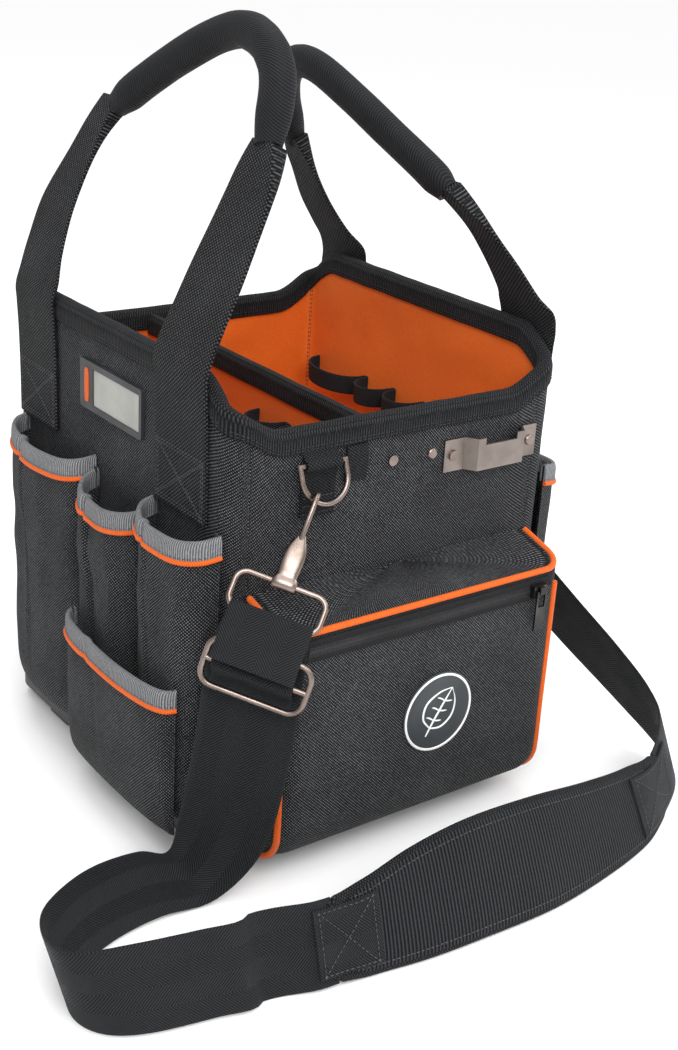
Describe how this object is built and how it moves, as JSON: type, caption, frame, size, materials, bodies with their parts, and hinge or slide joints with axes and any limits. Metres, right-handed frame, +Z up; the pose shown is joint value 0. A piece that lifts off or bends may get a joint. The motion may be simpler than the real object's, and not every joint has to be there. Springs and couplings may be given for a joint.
{
  "type": "garden tool bag",
  "caption": "Open-top boxy tool tote with divider, outside pockets, zipped front pocket, two carrying handles and a clip-on shoulder strap.",
  "frame": {"origin": "centre of the base, on the floor the feet stand on", "axes": "+X right along the front, -Y out of the front pocket, +Z up"},
  "size_m": [0.4894, 0.4553, 0.4984],
  "materials": {
    "body_fabric": "ballistic weave, matte",
    "lining_fabric": "orange coated nylon",
    "webbing": "ribbed nylon webbing",
    "grey_binding": "woven tape",
    "elastic": "knitted elastic",
    "moulded_base": "moulded, satin",
    "board": "stiff board",
    "nickel": "nickel plated",
    "spring_steel": "nickel plated sheet",
    "badge_rubber": "moulded rubber",
    "tag_rubber": "moulded rubber",
    "tag_card": "reflective grey film",
    "pad_mesh": "ribbed mesh over foam",
    "zip_coil": "zip tape and coil"
  },
  "bodies": {
    "bag": {"base_tray": "moulded_base", "base_feet": "moulded_base", "floor_board": "board", "front_panel": "body_fabric", "back_panel": "body_fabric", "left_panel": "body_fabric", "right_panel": "body_fabric", "lining": "lining_fabric", "rim_binding": "webbing", "divider": "lining_fabric", "divider_binding": "webbing", "tool_loops_right": "elastic", "tool_loops_left": "elastic", "left_pocket_back": "body_fabric", "left_pocket_middle": "body_fabric", "left_pocket_front": "body_fabric", "left_pocket_low": "body_fabric", "right_pocket_back": "body_fabric", "right_pocket_middle": "body_fabric", "right_pocket_front": "body_fabric", "right_pocket_low": "body_fabric", "back_pocket_left": "body_fabric", "back_pocket_right": "body_fabric", "name_tag_frame": "tag_rubber", "name_tag_window": "tag_card", "left_handle_sewn_ends": "webbing", "right_handle_sewn_ends": "webbing", "front_ring_loop": "webbing", "back_ring_loop": "webbing", "webbing_tab": "webbing", "panel_rivets": "nickel", "tape_clip": "spring_steel", "clip_rivets": "nickel", "zip_pocket_shell": "body_fabric", "zip_tape_lower": "zip_coil", "badge": "badge_rubber", "strap_front_run": "webbing", "strap_floor_run": "webbing", "shoulder_pad": "pad_mesh", "strap_back_run": "webbing"},
    "left_handle": {"left_handle_webbing": "webbing", "left_handle_grip": "webbing"},
    "right_handle": {"right_handle_webbing": "webbing", "right_handle_grip": "webbing"},
    "pocket_lid": {"zip_pocket_lid": "body_fabric", "zip_tape_upper": "zip_coil"},
    "zip_slider": {"zip_slider": "nickel"},
    "zip_pull": {"zip_pull": "nickel"},
    "front_ring": {"front_d_ring": "nickel"},
    "back_ring": {"back_d_ring": "nickel"},
    "front_clip": {"front_hook": "nickel"},
    "front_gate": {"front_hook_gate": "spring_steel"},
    "front_square_ring": {"front_strap_ring": "nickel"},
    "back_clip": {"back_hook": "nickel"},
    "back_gate": {"back_hook_gate": "spring_steel"},
    "back_square_ring": {"back_strap_ring": "nickel"},
    "strap_slider": {"strap_adjuster": "nickel"}
  },
  "joints": [
    {"name": "left_handle_fold", "type": "hinge", "parent": "bag", "child": "left_handle", "pos_m": [-0.129, 0, 0.315], "axis": [0, 1, 0], "range_deg": [-172, 10]},
    {"name": "right_handle_fold", "type": "hinge", "parent": "bag", "child": "right_handle", "pos_m": [0.129, 0, 0.315], "axis": [0, -1, 0], "range_deg": [-172, 10]},
    {"name": "pocket_lid_open", "type": "hinge", "parent": "bag", "child": "pocket_lid", "pos_m": [0, -0.136, 0.184], "axis": [-1, 0, 0], "range_deg": [0, 36]},
    {"name": "zip_travel", "type": "slide", "parent": "pocket_lid", "child": "zip_slider", "axis": [1, 0, 0], "range_m": [-0.15, 0]},
    {"name": "zip_pull_swing", "type": "hinge", "parent": "zip_slider", "child": "zip_pull", "pos_m": [0.084, -0.1832, 0.161], "axis": [-1, 0, 0], "range_deg": [0, 150]},
    {"name": "front_ring_swing", "type": "hinge", "parent": "bag", "child": "front_ring", "pos_m": [-0.062, -0.1392, 0.259], "axis": [-1, 0, 0], "range_deg": [0, 1]},
    {"name": "back_ring_swing", "type": "hinge", "parent": "bag", "child": "back_ring", "pos_m": [0.062, 0.1392, 0.259], "axis": [1, 0, 0], "range_deg": [0, 1]},
    {"name": "front_clip_swing", "type": "hinge", "parent": "bag", "child": "front_clip", "pos_m": [-0.07118, -0.14642, 0.23917], "axis": [-1, 0, 0], "range_deg": [0, 18.5], "deforming": ["strap_front_run"]},
    {"name": "front_gate_open", "type": "hinge", "parent": "front_clip", "child": "front_gate", "pos_m": [-0.08411, -0.15054, 0.21649], "axis": [0.6891, -0.6721, -0.271], "range_deg": [0, 20], "stiffness_Nm_per_rad": 0.02},
    {"name": "front_square_ring_turn", "type": "hinge", "parent": "front_clip", "child": "front_square_ring", "pos_m": [-0.10079, -0.16075, 0.19941], "axis": [0.6891, -0.6721, -0.271], "range_deg": [-6, 0]},
    {"name": "back_clip_swing", "type": "hinge", "parent": "bag", "child": "back_clip", "pos_m": [0.07586, 0.14467, 0.24396], "axis": [1, 0, 0], "range_deg": [0, 20], "deforming": ["strap_back_run"]},
    {"name": "back_gate_open", "type": "hinge", "parent": "back_clip", "child": "back_gate", "pos_m": [0.09997, 0.14912, 0.2341], "axis": [-0.347, -0.167, -0.9229], "range_deg": [0, 20], "stiffness_Nm_per_rad": 0.02},
    {"name": "back_square_ring_turn", "type": "hinge", "parent": "back_clip", "child": "back_square_ring", "pos_m": [0.12031, 0.16182, 0.22415], "axis": [-0.347, -0.167, -0.9229], "range_deg": [0, 6]},
    {"name": "strap_slider_travel", "type": "slide", "parent": "front_clip", "child": "strap_slider", "axis": [-0.147, -0.01, -0.9891], "range_m": [0, 0.035]}
  ],
  "couplings": [
    {"joint": "front_clip_swing", "follows": "pocket_lid_open", "ratio": 0.5}
  ]
}
